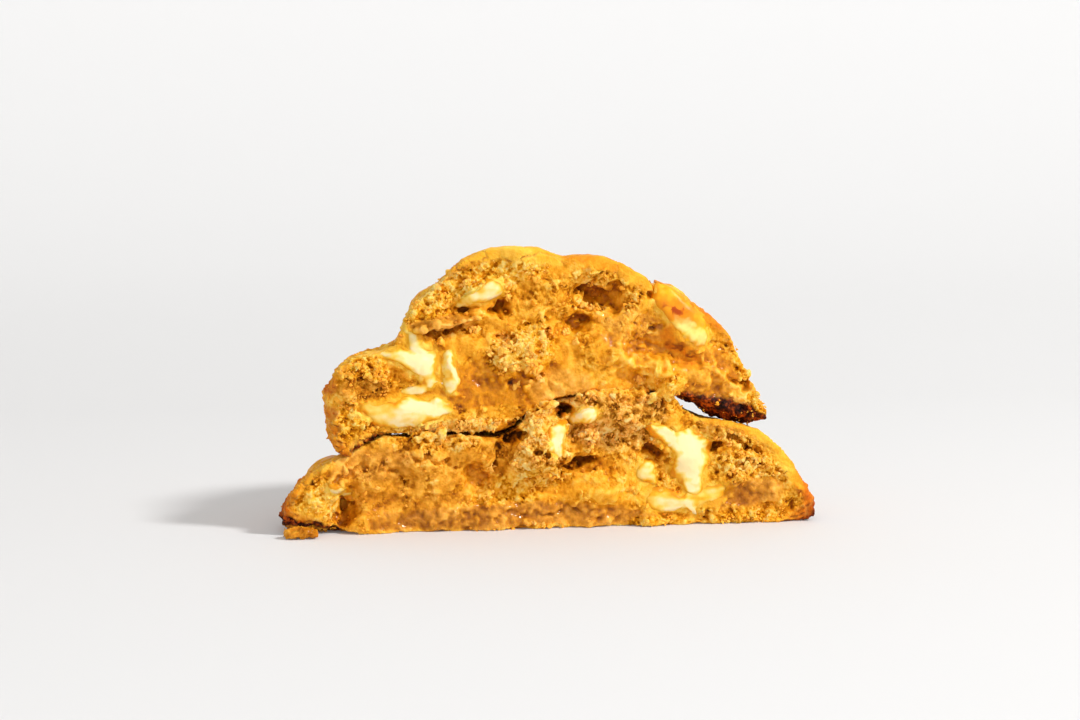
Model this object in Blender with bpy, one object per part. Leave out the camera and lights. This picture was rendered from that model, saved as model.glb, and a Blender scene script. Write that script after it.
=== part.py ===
"""A thick white chocolate cookie, broken in two, with one half lying on the other.

Lengths are millimetres until a mesh is made. x runs along the broken faces, y runs from the
broken faces at the front (y = 0) to the crust at the back, and z is up. The finished pieces are
moved together so that the middle of the stack's footprint is the origin.
"""

import math

import bmesh
import bpy
from mathutils import Matrix, Vector, noise

MM = 0.001
GAP = 0.35          # clearance between pieces that touch
CONTACT_GAP = 0.6   # clearance of the upper half over the lower one

# Steps round one cross-section: broken face, crust, rounded rim and underside.
FACE_STEPS = 17
CRUST_STEPS = 15
RIM_STEPS = 4
BASE_STEPS = 9

# Lower half: 114 mm along the break, lying flat, its peak right of the middle.
LOWER_ENDS = (-55.8, 57.6)
LOWER_DEPTH = 52.0
LOWER_RIM = 6.5
LOWER_STATIONS = 50
LOWER_DOME = 1.8         # 2 is an elliptical fall from the break to the rim, less is flatter
LOWER_TOP = (
    (-55.8, 6.4), (-53.6, 10.1), (-50.0, 13.1), (-44.0, 16.2), (-34.0, 20.5), (-26.0, 20.0),
    (-19.0, 20.4), (-11.0, 19.4), (-4.5, 24.0), (2.0, 27.2), (11.0, 28.2), (20.0, 28.2),
    (26.8, 27.3), (30.8, 22.9), (37.0, 22.2), (44.0, 20.1), (50.0, 15.6), (54.3, 9.6), (57.6, 4.4),
)
LOWER_UNDER = (
    (-55.8, 4.2), (-53.0, 3.2), (-48.0, 2.3), (-43.0, 0.9), (-38.0, 0.0), (52.0, 0.0),
    (55.0, 0.5), (57.6, 1.6),
)
LOWER_LIP_DEPTH = 6.0    # how far back the lifted front edge reaches
LOWER_END_ROUND = 5.0    # rounding of the rim where it meets the break

# Upper half: 94 mm along the break and the thicker one, sagging over the lower half.
UPPER_ENDS = (-46.8, 46.8)
UPPER_DEPTH = 48.0
UPPER_RIM = 7.0
UPPER_STATIONS = 45
UPPER_DOME = 2.1
UPPER_TOP = (
    (-46.8, 30.2), (-44.6, 35.0), (-40.0, 37.2), (-35.5, 38.1), (-32.4, 39.8), (-30.0, 46.4),
    (-24.6, 51.0), (-17.4, 57.4), (-10.0, 59.6), (-1.0, 59.0), (2.4, 57.0), (6.0, 57.6),
    (13.0, 56.8), (20.6, 52.8), (25.0, 51.3), (31.0, 46.9), (38.0, 41.0), (41.5, 34.6),
    (44.0, 29.0), (46.8, 24.2),
)
UPPER_UNDER = (
    (-46.8, 27.8), (-45.9, 21.0), (-43.6, 16.7), (-37.4, 18.7), (-32.5, 20.6), (-20.0, 20.9),
    (-9.5, 21.0), (-5.4, 23.3), (2.1, 25.6), (11.0, 26.0), (20.0, 26.4), (28.0, 27.0),
    (33.0, 24.7), (38.5, 21.6), (43.0, 20.9), (46.8, 21.9),
)
UPPER_LIP = (
    (-46.8, 0.0), (24.0, 0.0), (30.0, 1.2), (34.0, 2.6), (41.0, 3.2), (44.0, 2.0), (46.8, 0.0),
)
UPPER_LIP_DEPTH = 5.0
UPPER_SAG = 7.0          # how far the back of the upper half droops
UPPER_SAG_CENTRE = -8.0
UPPER_SAG_WIDTH = 27.0
UPPER_RISE = 3.6         # how much higher the right flank hangs behind its drooping edge

# The narrow split in the upper crust, right of the dome.
CRACK_X = 21.8
CRACK_HALF_WIDTH = 1.0
CRACK_DROP = 2.6
CRACK_LENGTH = 12.0

PLAN_ROUNDNESS = 2.15    # 2 is a true half circle seen from above
OUTLINE_BLUR = 13.0      # behind the break, the crest's steps even out over this width
OUTLINE_BLUR_DEPTH = 24.0
BACK_DRIFT = 0.2         # the crest behind the break stays below the outline of the break,
BACK_RISE = 0.04         # followed back along this slant and this gentle rise
CRUST_SWELL = 0.7        # height of the gentle waves in the crust
CRUST_SWELL_LENGTH = 19.0
CRAG = 1.6               # height of the crags on a broken face
CRAG_LENGTH = 7.0
CRUMB = 0.8
CRUMB_LENGTH = 3.4

# Lumps (proud) and hollows (sunk) of the broken faces: x, z, half width, half height, tilt in
# degrees, and how far the middle stands proud of the face.
LOWER_SPOTS = {
    "rounded lump by the notch": (-3.3, 17.2, 8.0, 8.4, 0, 5.2),
    "crevice left of the lump": (-10.6, 15.0, 2.6, 5.0, -20, -3.6),
    "left mound": (-21.0, 16.6, 11.0, 5.0, 6, 2.2),
    "left shoulder": (-33.0, 15.0, 8.0, 5.0, 15, 1.2),
    "crust block at the left end": (-50.2, 7.2, 5.5, 5.6, 0, 2.6),
    "pocket beside the block": (-43.0, 5.8, 3.2, 6.0, -20, -4.6),
    "amber hollow": (-15.4, 11.6, 4.2, 4.6, 20, -2.6),
    "crag under the peak": (15.0, 24.0, 11.0, 4.6, -8, 2.6),
    "shadowed step": (7.0, 13.8, 5.5, 1.9, 4, -3.0),
    "smooth dough": (9.0, 7.5, 12.0, 4.6, 0, 1.4),
    "hollow left of the chocolate": (22.0, 15.9, 3.0, 2.0, -10, -2.8),
    "hollow right of the chocolate": (35.4, 16.2, 3.2, 1.9, 10, -2.8),
    "right porous crumb": (43.0, 14.0, 7.0, 5.0, -30, 1.0),
    "moist band": (40.0, 6.0, 9.0, 2.6, 8, -1.2),
}
UPPER_SPOTS = {
    "crumb ledge": (-18.5, 44.6, 10.0, 1.8, 12, 2.2),
    "groove under the ledge": (-21.0, 42.2, 8.0, 1.6, 10, -3.0),
    "hollow under the top chunk": (-10.6, 46.4, 4.6, 3.6, 10, -3.2),
    "hollow left of it": (-17.8, 46.6, 4.2, 2.6, 0, -2.0),
    "branching hollow": (9.6, 49.3, 7.0, 4.2, -12, -3.0),
    "amber hollow": (6.3, 43.4, 5.6, 3.6, 5, -3.4),
    "small hollow": (-9.8, 40.8, 3.4, 1.7, 0, -2.4),
    "crumb heap": (-5.5, 36.4, 9.5, 6.5, 10, 3.0),
    "ridge right of the heap": (10.0, 37.5, 9.0, 4.0, -8, 1.2),
    "pulled ridge": (26.0, 33.6, 13.0, 2.6, -14, 2.0),
    "pulled hollow": (24.0, 37.6, 10.0, 1.9, -18, -2.2),
    "left lobe": (-41.0, 32.6, 7.0, 5.6, -10, 2.0),
    "fold below the left lobe": (-40.0, 26.2, 7.0, 1.6, -8, -1.6),
    "left foot": (-42.5, 21.2, 5.0, 5.2, 20, 1.6),
    "crumb flake at the contact": (25.4, 29.8, 4.0, 3.4, 20, 3.6),
    "hollow in the right flank": (33.6, 39.4, 2.8, 1.8, -20, -2.2),
}

# White chocolate in the broken faces: x, z, half width, half height, tilt, thickness, how far it
# stands proud, and how fine its mesh is.
LOWER_CHOCOLATE = {
    "choc_lower_pool": (27.0, 16.9, 7.8, 3.5, -49, 7.0, 1.0, 3),
    "choc_lower_smear": (28.6, 5.5, 9.2, 2.6, 4, 5.0, 0.8, 3),
    "choc_lower_lump": (1.2, 20.2, 2.4, 3.3, -25, 5.0, 0.7, 2),
    "choc_lower_nub": (7.8, 24.2, 2.4, 1.6, 8, 4.0, 0.8, 2),
    "choc_lower_patch": (20.3, 11.8, 2.2, 2.4, 0, 4.0, 0.6, 2),
    "choc_lower_bead": (-45.4, 10.6, 2.0, 1.5, 0, 3.4, 0.8, 2),
}
UPPER_CHOCOLATE = {
    "choc_upper_pool": (-31.0, 25.4, 10.4, 3.0, -3, 7.0, 1.0, 3),
    "choc_upper_smear": (-29.6, 35.4, 5.6, 3.0, -18, 6.0, 1.0, 3),
    "choc_upper_strip": (-21.3, 33.6, 1.4, 4.4, 4, 3.6, 0.8, 2),
    "choc_upper_top": (-13.8, 50.5, 5.4, 2.2, 24, 6.0, 0.9, 2),
    "choc_upper_toasted": (28.2, 43.4, 8.4, 3.9, -50, 7.0, 0.9, 3),
}
# Toasted chunks in the crust, away from the break: x, y, half length, half width, turn, thickness.
LOWER_CRUST_CHUNKS = {
    "choc_lower_crust_left": (-46.5, 18.5, 4.0, 3.0, 35, 4.4),
    "choc_lower_crust_right": (48.5, 17.5, 4.2, 3.0, -30, 4.4),
    "choc_lower_crust_back": (15.0, 45.5, 4.8, 3.2, 10, 4.4),
}
UPPER_CRUST_CHUNKS = {
    "choc_upper_crust_back": (4.0, 32.0, 5.6, 4.0, 20, 5.0),
    "choc_upper_crust_left": (-24.0, 17.0, 4.6, 3.4, -50, 4.6),
}
CRUST_CHUNK_PROUD = 1.0
CHUNK_SQUARENESS = 3.4   # 2 is an ellipsoid, higher is blockier
CHUNK_WOBBLE = 0.09
CHUNK_WOBBLE_LENGTH = 5.0

# The flat crumb that fell beside the left end.
FALLEN_CRUMB = (-53.0, -3.4, 1.15)
FALLEN_CRUMB_SIZE = (3.7, 2.4, 1.25)

BAKED_CRUMB = ((0.72, 0.40, 0.12), 0.62)
MOIST_CRUMB = ((0.66, 0.33, 0.09), 0.50)
WHITE_CHOCOLATE = ((0.96, 0.86, 0.52), 0.35)
TOASTED_CHOCOLATE = ((0.93, 0.62, 0.20), 0.42)


def smoothstep(low, high, value):
    t = min(1.0, max(0.0, (value - low) / (high - low)))
    return t * t * (3.0 - 2.0 * t)


def follow(points, x):
    """Read a smooth line through a few (x, height) points that never overshoots them."""
    if x <= points[0][0]:
        return points[0][1]
    if x >= points[-1][0]:
        return points[-1][1]
    slopes = []
    for (x0, z0), (x1, z1) in zip(points, points[1:]):
        slopes.append((z1 - z0) / (x1 - x0))
    i = next(k for k in range(len(slopes)) if x <= points[k + 1][0])
    x0, z0 = points[i]
    x1, z1 = points[i + 1]
    before = slopes[i - 1] if i > 0 else slopes[i]
    after = slopes[i + 1] if i + 1 < len(slopes) else slopes[i]
    start = gentle_slope(before, slopes[i])
    end = gentle_slope(slopes[i], after)
    t = (x - x0) / (x1 - x0)
    width = x1 - x0
    rise = (3.0 - 2.0 * t) * t * t
    bend_in = (t - 1.0) ** 2 * t * width * start
    bend_out = (t - 1.0) * t * t * width * end
    return z0 + (z1 - z0) * rise + bend_in + bend_out


def gentle_slope(a, b):
    """The harmonic mean of two slopes, or level where they point opposite ways."""
    if a * b <= 0.0:
        return 0.0
    return 2.0 * a * b / (a + b)


def waves(point, length, seed):
    """Smooth noise between about -1 and 1, with features of the given length."""
    return noise.noise(Vector(point) / length + Vector((seed, 2.0 * seed, 3.0 * seed)))


class Half:
    """One half of the cookie, described by its height and depth at each place."""

    def __init__(self, ends, depth, rim, dome, tops, spots, seed):
        self.ends = ends
        self.full_depth = depth
        self.rim = rim
        self.dome = dome
        self.tops = tops
        self.spots = spots
        self.seed = seed

    def depth(self, x):
        """Distance from the break to the outermost crust."""
        middle = (self.ends[0] + self.ends[1]) / 2
        reach = (self.ends[1] - self.ends[0]) / 2 + 0.4
        share = abs((x - middle) / reach)
        round_plan = (1.0 - share ** PLAN_ROUNDNESS) ** (1 / PLAN_ROUNDNESS)
        uneven = 1.0 + 0.05 * waves((x, 0.0, 0.0), 22.0, self.seed)
        return self.full_depth * round_plan * uneven

    def crest(self, x, y):
        """The outline of the break, evened out more and more towards the back."""
        reach = OUTLINE_BLUR * smoothstep(0.0, OUTLINE_BLUR_DEPTH, y)
        heights = [follow(self.tops, x + reach * share / 3) for share in range(-3, 4)]
        limit = follow(self.tops, x - BACK_DRIFT * max(0.0, y)) + BACK_RISE * max(0.0, y)
        return min(sum(heights) / len(heights), limit)

    def top(self, x, y):
        """Height of the crust, which falls from the break to the rim at the back."""
        depth = self.depth(x)
        crest = self.crest(x, y)
        low = self.under(x, depth)
        rim = low + min(self.rim, 0.5 * (crest - low))
        share = min(1.0, max(0.0, y / depth))
        fall = (1.0 - share ** self.dome) ** (1 / self.dome)
        swell = CRUST_SWELL * waves((x, y, 0.0), CRUST_SWELL_LENGTH, self.seed)
        swell *= smoothstep(0.0, 12.0, y) * (1.0 - share ** 4)
        return rim + (crest - rim) * fall + swell

    def face(self, x, z):
        """Place of the broken face along y: lumps come forward and hollows go back."""
        proud = CRAG * waves((x, 0.0, z), CRAG_LENGTH, self.seed + 1)
        proud += CRUMB * waves((x, 0.0, z), CRUMB_LENGTH, self.seed + 2)
        for centre_x, centre_z, half_x, half_z, tilt, height in self.spots.values():
            turn = math.radians(tilt)
            along = (x - centre_x) * math.cos(turn) + (z - centre_z) * math.sin(turn)
            across = (z - centre_z) * math.cos(turn) - (x - centre_x) * math.sin(turn)
            away = (along / half_x) ** 2 + (across / half_z) ** 2
            if away < 1.0:
                proud += height * (1.0 - away) ** 1.5
        return -proud * min(1.0, self.depth(x) / 14.0)

    def ring(self, x):
        """One closed cross-section, up the broken face and back over the crust."""
        depth = self.depth(x)
        front_low = self.under(x, 0.0)
        front_top = self.top(x, 0.0)
        ring = []
        for i in range(FACE_STEPS):
            z = front_low + (front_top - front_low) * i / FACE_STEPS
            ring.append((x, self.face(x, z), z))
        front = self.face(x, front_top)
        for i in range(CRUST_STEPS):
            y = front + (depth - front) * math.sin(math.pi / 2 * i / CRUST_STEPS)
            ring.append((x, y, self.top(x, y)))
        low = self.under(x, depth)
        rim_height = self.top(x, depth) - low
        rim_inset = min(rim_height, 0.3 * depth)
        for i in range(RIM_STEPS):
            angle = math.pi / 2 * i / RIM_STEPS
            y = depth - rim_inset * (1.0 - math.cos(angle))
            ring.append((x, y, low + rim_height * (1.0 - math.sin(angle))))
        front = self.face(x, front_low)
        for i in range(BASE_STEPS):
            y = depth - rim_inset + (front - depth + rim_inset) * i / BASE_STEPS
            ring.append((x, y, self.under(x, y)))
        return ring


class LowerHalf(Half):
    def under(self, x, y):
        """The flat underside, lifted at the broken edge and rounded up at both ends."""
        lift = follow(LOWER_UNDER, x) * (1.0 - smoothstep(0.0, LOWER_LIP_DEPTH, y))
        to_end = min(x - self.ends[0], self.ends[1] - x)
        share = max(0.0, 1.0 - to_end / LOWER_END_ROUND)
        rounding = 1.8 * (1.0 - math.sqrt(max(0.0, 1.0 - share * share)))
        return max(lift, rounding)


class UpperHalf(Half):
    def under(self, x, y):
        """The underside, which sags at the back and stays clear of the half below."""
        edge = follow(UPPER_LIP, x) * (1.0 - smoothstep(0.0, UPPER_LIP_DEPTH, y))
        sideways = math.exp(-((x - UPPER_SAG_CENTRE) / UPPER_SAG_WIDTH) ** 2)
        droop = UPPER_SAG * sideways * (max(0.0, y) / self.full_depth) ** 1.6
        rise = UPPER_RISE * smoothstep(26.0, 36.0, x) * smoothstep(6.0, 22.0, y)
        own = follow(UPPER_UNDER, x) + edge - droop + rise
        if y > lower.depth(x):
            return own
        return max(own, lower.top(x, y) + CONTACT_GAP)

    def top(self, x, y):
        """The crust, with the narrow split that runs back from the break."""
        height = super().top(x, y)
        nearness = max(0.0, 1.0 - abs(x - CRACK_X) / CRACK_HALF_WIDTH)
        return height - CRACK_DROP * nearness * (1.0 - smoothstep(0.0, CRACK_LENGTH, y))


lower = LowerHalf(LOWER_ENDS, LOWER_DEPTH, LOWER_RIM, LOWER_DOME, LOWER_TOP, LOWER_SPOTS, 4.1)
upper = UpperHalf(UPPER_ENDS, UPPER_DEPTH, UPPER_RIM, UPPER_DOME, UPPER_TOP, UPPER_SPOTS, 7.3)


def stations(ends, count, extra=()):
    """Places along x, closer together towards both ends."""
    middle = (ends[0] + ends[1]) / 2
    reach = (ends[1] - ends[0]) / 2
    places = []
    for i in range(count):
        share = 2.0 * i / (count - 1) - 1.0
        eased = 0.65 * share + 0.35 * math.sin(share * math.pi / 2)
        place = middle + reach * eased
        if all(abs(place - other) > CRACK_HALF_WIDTH / 2 for other in extra):
            places.append(place)
    return sorted(places + list(extra))


def make_object(name, bm, finish):
    """Put a mesh in the scene under its name, with a material of its own."""
    mesh = bpy.data.meshes.new(name)
    bm.to_mesh(mesh)
    bm.free()
    mesh.shade_smooth()
    colour, roughness = finish
    material = bpy.data.materials.new(name)
    material.use_nodes = True
    shader = material.node_tree.nodes["Principled BSDF"]
    shader.inputs["Base Color"].default_value = (*colour, 1.0)
    shader.inputs["Roughness"].default_value = roughness
    mesh.materials.append(material)
    piece = bpy.data.objects.new(name, mesh)
    bpy.context.collection.objects.link(piece)
    return piece


def half_solid(name, half, places, finish):
    """Join the cross-sections into one closed body and cap both ends."""
    bm = bmesh.new()
    rings = []
    for x in places:
        rings.append([bm.verts.new(Vector(point) * MM) for point in half.ring(x)])
    for ring, following in zip(rings, rings[1:]):
        for i in range(len(ring)):
            j = (i + 1) % len(ring)
            bm.faces.new((ring[i], ring[j], following[j], following[i]))
    for ring in (rings[0], rings[-1]):
        cap = bm.faces.new(ring)
        bmesh.ops.poke(bm, faces=[cap])
    bmesh.ops.recalc_face_normals(bm, faces=bm.faces)
    bmesh.ops.triangulate(bm, faces=bm.faces, quad_method="SHORT_EDGE")
    return make_object(name, bm, finish)


def add_chunk(bm, size, place, fineness, grow=0.0):
    """Add one rounded, slightly uneven block; grow makes the pocket that it sits in."""
    made = bmesh.ops.create_icosphere(bm, subdivisions=fineness, radius=1.0)
    seed = size[0] + size[2]
    for vert in made["verts"]:
        spread = sum(abs(part) ** CHUNK_SQUARENESS for part in vert.co)
        block = vert.co / spread ** (1 / CHUNK_SQUARENESS)
        wobble = 1.0 + CHUNK_WOBBLE * waves(block * CHUNK_WOBBLE_LENGTH, CHUNK_WOBBLE_LENGTH / 2, seed)
        grown = [part * (half + grow) * wobble for part, half in zip(block, size)]
        vert.co = place @ Vector(grown) * MM
    return made["verts"]


def face_place(half, x, z, tilt, thickness, proud):
    """Where a chunk sits in a broken face: its own y axis runs into the dough."""
    y = half.face(x, z) + thickness / 2 - proud
    turn = Matrix.Rotation(-math.radians(tilt), 4, "Y")
    return Matrix.Translation((x, y, z)) @ turn


def crust_place(half, x, y, turn, thickness):
    """Where a chunk sits in the crust: its own y axis runs down through the crust."""
    step = 1.0
    slope_x = (half.top(x + step, y) - half.top(x - step, y)) / (2 * step)
    slope_y = (half.top(x, y + step) - half.top(x, y - step)) / (2 * step)
    normal = Vector((-slope_x, -slope_y, 1.0)).normalized()
    centre = Vector((x, y, half.top(x, y))) - normal * (thickness / 2 - CRUST_CHUNK_PROUD)
    upright = normal.to_track_quat("-Y", "Z").to_matrix().to_4x4()
    spin = Matrix.Rotation(math.radians(turn), 4, "Y")
    return Matrix.Translation(centre) @ upright @ spin


def chunk_plan(half, face_chunks, crust_chunks):
    """List every chunk of a half as name, half sizes, place, fineness and finish."""
    plan = []
    for name, (x, z, long, short, tilt, thickness, proud, fine) in face_chunks.items():
        place = face_place(half, x, z, tilt, thickness, proud)
        plan.append((name, (long, thickness / 2, short), place, fine, WHITE_CHOCOLATE))
    for name, (x, y, long, short, turn, thickness) in crust_chunks.items():
        place = crust_place(half, x, y, turn, thickness)
        plan.append((name, (long, thickness / 2, short), place, 2, TOASTED_CHOCOLATE))
    return plan


def add_chunks(host, plan):
    """Make each chunk and cut its pocket in the half that holds it."""
    pockets = bmesh.new()
    chunks = []
    for name, size, place, fineness, finish in plan:
        add_chunk(pockets, size, place, fineness, grow=GAP)
        bm = bmesh.new()
        add_chunk(bm, size, place, fineness)
        chunks.append(make_object(name, bm, finish))
    cutter = make_object(host.name + "_pockets", pockets, WHITE_CHOCOLATE)
    cutter.hide_render = True
    cutter.display_type = "WIRE"
    cut = host.modifiers.new("pockets", "BOOLEAN")
    cut.operation = "DIFFERENCE"
    cut.solver = "EXACT"
    cut.object = cutter
    return chunks + [cutter]


def fallen_crumb():
    """A flat crumb that rests on the surface, its underside level."""
    bm = bmesh.new()
    place = Matrix.Translation(FALLEN_CRUMB)
    verts = add_chunk(bm, FALLEN_CRUMB_SIZE, place, 2)
    for vert in verts:
        vert.co.z = max(0.0, vert.co.z)
    bmesh.ops.dissolve_degenerate(bm, dist=0.00001, edges=bm.edges)
    return make_object("fallen_crumb", bm, BAKED_CRUMB)


def centre_on_origin(pieces):
    """Move every mesh so that the middle of the footprint is at x = 0, y = 0."""
    corners = []
    for piece in pieces:
        if not piece.hide_render:
            corners.extend(vert.co for vert in piece.data.vertices)
    middle = []
    for axis in (0, 1):
        values = [corner[axis] for corner in corners]
        middle.append((min(values) + max(values)) / 2)
    for piece in pieces:
        piece.data.transform(Matrix.Translation((-middle[0], -middle[1], 0.0)))
    print("footprint centre, mm:", round(middle[0] / MM, 3), round(middle[1] / MM, 3))


for old in list(bpy.data.objects):
    bpy.data.objects.remove(old)

crack = (CRACK_X - CRACK_HALF_WIDTH, CRACK_X, CRACK_X + CRACK_HALF_WIDTH)
lower_half = half_solid("lower_half", lower, stations(LOWER_ENDS, LOWER_STATIONS), MOIST_CRUMB)
upper_half = half_solid("upper_half", upper, stations(UPPER_ENDS, UPPER_STATIONS, crack), BAKED_CRUMB)
everything = [lower_half, upper_half, fallen_crumb()]
everything += add_chunks(lower_half, chunk_plan(lower, LOWER_CHOCOLATE, LOWER_CRUST_CHUNKS))
everything += add_chunks(upper_half, chunk_plan(upper, UPPER_CHOCOLATE, UPPER_CRUST_CHUNKS))
centre_on_origin(everything)
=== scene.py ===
import math

import bmesh
import bpy
import numpy as np
from mathutils import Matrix, Vector, noise
from mathutils.bvhtree import BVHTree


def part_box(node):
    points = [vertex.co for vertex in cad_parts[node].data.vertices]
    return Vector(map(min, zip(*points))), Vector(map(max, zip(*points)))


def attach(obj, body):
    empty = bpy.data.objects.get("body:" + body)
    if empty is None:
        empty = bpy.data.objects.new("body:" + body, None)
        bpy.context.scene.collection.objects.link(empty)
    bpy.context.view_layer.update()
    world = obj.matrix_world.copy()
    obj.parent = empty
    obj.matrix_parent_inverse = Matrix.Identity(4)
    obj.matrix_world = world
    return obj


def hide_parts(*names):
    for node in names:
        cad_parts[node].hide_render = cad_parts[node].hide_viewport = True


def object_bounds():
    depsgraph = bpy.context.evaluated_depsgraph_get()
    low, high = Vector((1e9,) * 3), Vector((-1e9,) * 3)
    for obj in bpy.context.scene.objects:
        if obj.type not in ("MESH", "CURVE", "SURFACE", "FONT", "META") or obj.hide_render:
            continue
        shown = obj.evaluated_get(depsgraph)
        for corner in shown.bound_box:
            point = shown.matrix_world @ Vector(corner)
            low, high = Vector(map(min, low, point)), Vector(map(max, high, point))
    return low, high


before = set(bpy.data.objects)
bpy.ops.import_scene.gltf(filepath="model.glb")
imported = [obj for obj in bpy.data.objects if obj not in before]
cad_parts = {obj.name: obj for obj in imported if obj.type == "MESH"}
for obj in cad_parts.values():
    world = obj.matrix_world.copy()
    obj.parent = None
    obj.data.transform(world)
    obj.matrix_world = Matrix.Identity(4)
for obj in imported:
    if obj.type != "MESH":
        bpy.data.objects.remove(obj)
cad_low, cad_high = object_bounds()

MM = 0.001
BREAK = np.array((-0.428, -23.141, 0))   # the zero of the broken faces in the frame, mm


# The view: from the front and a little left, near table height, through a long lens, so that the
# two broken faces are seen square on.
CAMERA_PLACE = (-0.11106, -0.63811, 0.10143)
CAMERA_TARGET = (-0.00263, -0.02314, 0.0358)
LENS_MM = 100


def add_object(name, data):
    made = bpy.data.objects.new(name, data)
    bpy.context.scene.collection.objects.link(made)
    return made


def aim(thing, place, target):
    """Put a camera or lamp at a place and turn it towards a target."""
    thing.location = place
    thing.rotation_mode = "QUATERNION"
    thing.rotation_quaternion = (Vector(target) - Vector(place)).to_track_quat("-Z", "Y")


camera = add_object("view", bpy.data.cameras.new("view"))
camera.data.lens = LENS_MM
camera.data.sensor_width = 36
camera.data.clip_start = 0.01
camera.data.clip_end = 20
aim(camera, CAMERA_PLACE, CAMERA_TARGET)
bpy.context.scene.camera = camera


# The lower half: thick soft dough, baked golden outside and torn open along its front. The torn
# face is moist amber dough with dry crumb standing out of it. It is one body, fused from the
# dough and some hundreds of crumbs, and lies flat on its browned underside.
LOWER_NODES = ["lower_half"] + ["choc_lower_" + name for name in (
    "pool", "smear", "lump", "nub", "patch", "bead", "crust_left", "crust_right", "crust_back",
)]
# White chocolate in the torn face, as overlapping lobes: x, z, half width, half height, tilt in
# degrees, and how far the middle stands proud of the dough.
LOWER_CHOCOLATE = {
    "choc_lower_pool": (
        (30.2, 13.8, 4, 4.8, -14, 0.55), (30, 17.4, 4.8, 2.8, -20, 0.5),
        (24.6, 19.2, 4.6, 1.6, -38, 0.5), (30.6, 9.6, 1.8, 3.2, 10, 0.4),
    ),
    "choc_lower_smear": (
        (24.4, 5, 4.4, 2.3, 0, 0.2), (28.6, 4.8, 3.6, 1.6, -10, 0.35), (34.6, 6.4, 4.2, 2.3, 15, 0.12),
        (30, 3.7, 2.8, 0.7, -38, 0.6), (26.2, 3.8, 3, 0.6, -6, 0.4), (29.4, 8, 1.3, 2.4, 0, 0.15),
        (21.6, 7.6, 1.8, 1.2, 40, 0),
    ),
    "choc_lower_lump": ((1, 19.4, 2.2, 3.2, -15, 0.5), (1.5, 17, 1.2, 1.6, 0, 0.3)),
    "choc_lower_nub": ((7.6, 24.2, 2.8, 1.7, 12, 0.55), (5.8, 23.4, 1.3, 0.9, 20, 0.3)),
    "choc_lower_patch": ((20.3, 11.8, 2.3, 2.4, -20, 0.25), (22, 10, 1, 1.5, 10, 0.2)),
    "choc_lower_bead": ((-45.8, 9.8, 1.8, 1, -15, 0.45), (-43.4, 8.6, 2.6, 1, -20, 0.2)),
}
# Strokes over the torn face: x, z, half width, half height, tilt, then how grainy, how wet, how
# pale (below 0 is darker) and how tan the dough is there.
# Several strokes with paleness below 0 paint shade: those named shaded or shadowed, and those marked
# below.
LOWER_STROKES = {
    "left mound": (-24, 11, 23, 9, 5, 0.35, 0.5, -0.3, 0.4),
    # Painted shade: the top of the mound is moist tan dough, painted darker still for the shade under the
    # upper half.
    "moist top of the mound in painted shade": (-35, 14.5, 6.5, 3.4, 10, 0.3, 0.6, -0.5, 0.7),
    "left shoulder": (-42, 14.6, 6, 2.6, 30, 0.05, 0.6, -0.25, 0.7),
    "crest of the mound": (-22, 19, 7, 2.2, 0, 0.8, 0.15, 0.35, 0.3),
    "golden bits": (-10, 8.4, 9, 5, -6, 0.6, 0.3, 0.45, 0),
    "golden dough": (10, 7.6, 12, 4.6, 0, 0.3, 0.45, 0.25, 0),
    "wet foot": (-14, 2.8, 27, 2.6, 2, 0, 0.85, -0.75, 0.7),
    "wet foot, right": (12, 2, 12, 1.8, 0, 0, 0.85, -0.5, 0.6),
    "crag under the peak": (12, 22.6, 13, 6, -8, 0.75, 0.15, 0.15, 0.9),
    "crag beside the chocolate": (20.6, 24, 4, 4, 0, 0.7, 0.15, -0.25, 1),
    "round lump": (-3, 17.4, 7.6, 8.4, 0, 0.9, 0.05, 0.35, 0.6),
    "top of the lump": (-2.4, 23, 5, 2.6, 10, 0.8, 0.05, 0.85, 0.3),
    "shaded side of the lump": (-9.6, 15.4, 1.3, 4.6, -16, 0.3, 0.2, -1.2, 0.5),
    "golden foot of the lump": (-1, 11.5, 6, 2.6, 0, 0.8, 0.2, 0.35, 0.1),
    "shadowed step": (7, 13.8, 6, 1.9, 4, 0.3, 0.4, -0.6, 0.3),
    "porous crumb": (43.5, 13.6, 9.5, 7, -35, 0.9, 0.05, 0.4, 0.2),
    "crumb by the chocolate": (36.4, 19.6, 5.5, 2.6, -20, 0.8, 0.1, 0.3, 0.5),
    "moist band": (42, 6.4, 9, 3, 8, 0.1, 0.8, -0.65, 0.65),
    "block at the left end": (-50, 6.8, 5.4, 6, 0, 0.6, 0.05, 0.75, 0),
    "rust on the block": (-50.4, 12.2, 3.4, 1.6, 40, 0.6, 0.1, -0.7, 0.3),
    # Painted shade, with real colour: the pocket, the hollows and the crevice hold moister amber dough
    # and are painted darker still for the shade in them.
    "pocket beside the block": (-43, 3.8, 2.2, 3.6, -20, 0.2, 0.5, -0.9, 0.3),
    "amber hollow": (-15.4, 11.6, 3.8, 4, 20, 0.25, 0.6, -0.25, 0.2),
    "crevice left of the lump": (-10.8, 15.6, 1.6, 4.6, -20, 0.5, 0.3, -0.5, 0.4),
    "hollow left of the chocolate": (22.3, 16, 3, 1.6, -10, 0.2, 0.5, -0.5, 0.2),
    "hollow right of the chocolate": (35.8, 16.4, 2.8, 1.4, 5, 0.2, 0.5, -0.5, 0.2),
    # Painted shade: the wedge and the star are deep pockets under the upper half, painted near
    # black-brown for the shadow in them.
    "wedge left of the lump": (-8.6, 20.2, 2.6, 2.2, 20, 0.1, 0.2, -1.9, 0.2),
    "star under the upper half": (3.1, 25.2, 2.2, 1.4, 0, 0.1, 0.2, -1.9, 0.2),
    "bottom crust": (24, 1, 7, 1.3, 0, 0.7, 0, 0.3, 0),
    "bottom crust, right": (44, 1.2, 9, 1.6, 0, 0.8, 0, 0.2, 0),
}
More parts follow.
